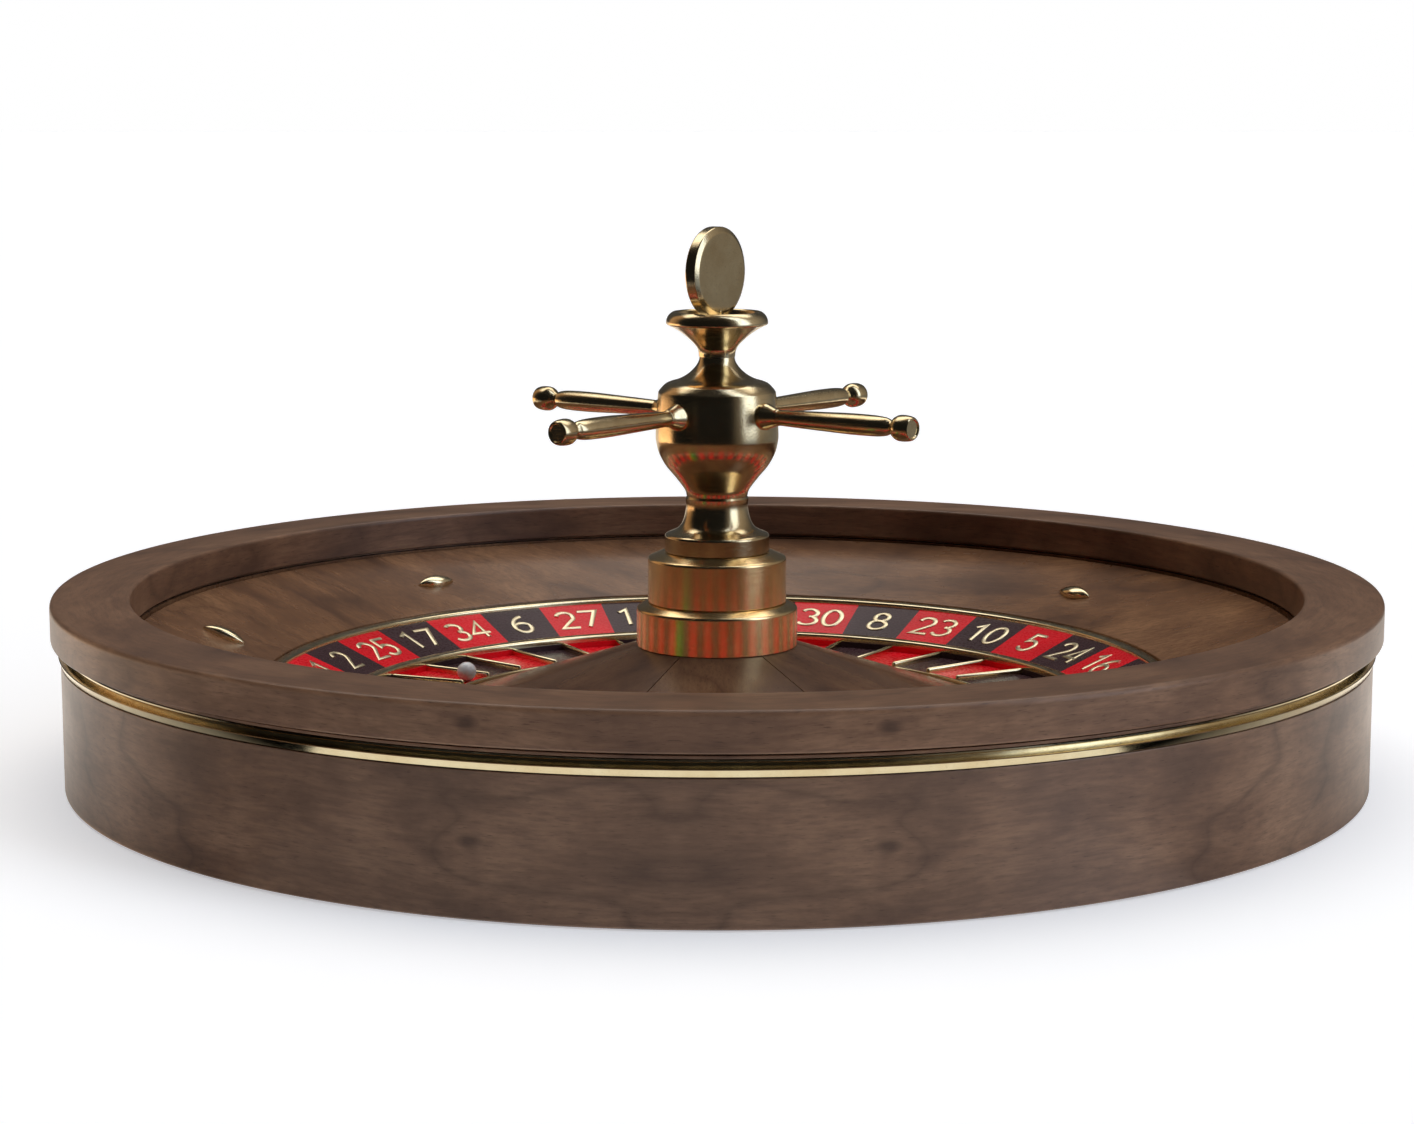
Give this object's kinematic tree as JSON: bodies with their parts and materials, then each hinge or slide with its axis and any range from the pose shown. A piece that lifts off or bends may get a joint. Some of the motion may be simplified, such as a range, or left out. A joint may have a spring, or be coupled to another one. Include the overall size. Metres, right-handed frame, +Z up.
{
  "type": "roulette wheel",
  "caption": "Table roulette wheel: wooden bowl with a brass band, and a spinning rotor with a number ring, pockets, wooden cone and a brass turret with turning handles.",
  "frame": {"origin": "centre of the flat underside of the bowl, on the spindle's axis", "axes": "+Z up along the spindle; the zero pocket lies towards -X -Y and one handle towards +X -Y"},
  "size_m": [0.813, 0.813, 0.3335],
  "materials": {
    "walnut": "satin lacquered walnut, dark brown with a streaky grain",
    "plywood": "bare plywood, hidden",
    "brass": "polished brass with a light brushed haze",
    "steel": "ground steel",
    "aluminium": "turned casting",
    "enamel": "glossy enamel fields in red and black with one green, and pale gold numerals",
    "ivory": "glossy ivory white"
  },
  "bodies": {
    "bowl": {"base_board": "plywood", "outer_bearer": "plywood", "inner_bearer": "plywood", "drum_ring": "walnut", "rim_ring": "walnut", "apron_ring": "walnut", "brass_band": "brass", "deflector_1": "brass", "deflector_2": "brass", "deflector_3": "brass", "deflector_4": "brass", "deflector_5": "brass", "deflector_6": "brass", "deflector_7": "brass", "deflector_8": "brass", "spindle_flange": "steel", "spindle": "steel", "flange_bolt_1": "steel", "flange_bolt_2": "steel", "flange_bolt_3": "steel", "spindle_nut": "steel", "lower_bearing_inner_race": "steel", "upper_bearing_inner_race": "steel"},
    "lower_cage": {"lower_bearing_cage": "steel"},
    "upper_cage": {"upper_bearing_cage": "steel"},
    "rotor": {"lower_bearing_outer_race": "steel", "upper_bearing_outer_race": "steel", "tie_rod": "steel", "rotor_hub": "aluminium", "wheel_head": "walnut", "number_ring_block": "walnut", "cone_panel_1": "walnut", "cone_panel_2": "walnut", "cone_panel_3": "walnut", "cone_panel_4": "walnut", "cone_panel_5": "walnut", "cone_panel_6": "walnut", "cone_bearer": "plywood", "number_ring": "enamel", "pocket_ring": "enamel", "outer_bead_ring": "brass", "inner_bead_ring": "brass", "fret_segment_1": "brass", "fret_segment_2": "brass", "fret_segment_3": "brass", "fret_segment_4": "brass", "fret_segment_5": "brass", "fret_segment_6": "brass", "fret_segment_7": "brass", "turret_base": "brass", "turret_tier": "brass", "turret_collar": "brass", "turret_vase": "brass", "turret_cup": "brass", "finial_disc": "brass", "handle_1": "brass", "handle_2": "brass", "handle_3": "brass", "handle_4": "brass"},
    "ball": {"ball": "ivory"}
  },
  "joints": [
    {"name": "rotor_spin", "type": "hinge", "parent": "bowl", "child": "rotor", "pos_m": [0, 0, 0.05], "axis": [0, 0, 1], "continuous": true},
    {"name": "lower_cage_spin", "type": "hinge", "parent": "bowl", "child": "lower_cage", "pos_m": [0, 0, 0.041], "axis": [0, 0, 1], "continuous": true},
    {"name": "upper_cage_spin", "type": "hinge", "parent": "bowl", "child": "upper_cage", "pos_m": [0, 0, 0.067], "axis": [0, 0, 1], "continuous": true},
    {"name": "ball_lift", "type": "slide", "parent": "rotor", "child": "ball", "axis": [0, 0, 1], "range_m": [0, 0.1]}
  ],
  "couplings": [
    {"joint": "lower_cage_spin", "follows": "rotor_spin", "ratio": 0.5776},
    {"joint": "upper_cage_spin", "follows": "rotor_spin", "ratio": 0.5776}
  ]
}
